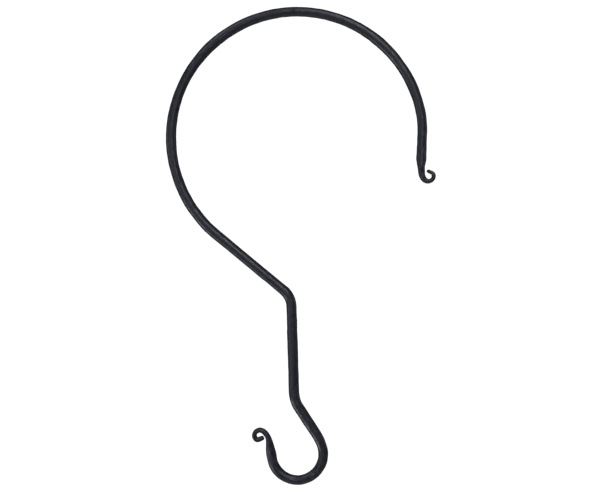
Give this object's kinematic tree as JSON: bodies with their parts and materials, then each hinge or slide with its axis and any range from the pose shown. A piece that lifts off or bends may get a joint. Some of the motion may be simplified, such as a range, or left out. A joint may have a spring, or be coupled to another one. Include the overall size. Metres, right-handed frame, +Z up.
{
  "type": "tree branch hook",
  "caption": "Black hand-forged hook for a tree branch: a wide open loop over the branch, a cranked shank and a small hook for the load, with curled ends.",
  "frame": {"origin": "the inside of the big loop at its crown, where the hook sits on the branch", "axes": "+Z up along the hanging load, +X toward the side of the loop's open mouth, -Y toward the front; the bar lies in the plane Y = 0"},
  "size_m": [0.1753, 0.007, 0.3112],
  "materials": {
    "black_finish": "satin black coating over hand-forged steel"
  },
  "bodies": {
    "root": {"forged_hook": "black_finish"}
  },
  "joints": []
}
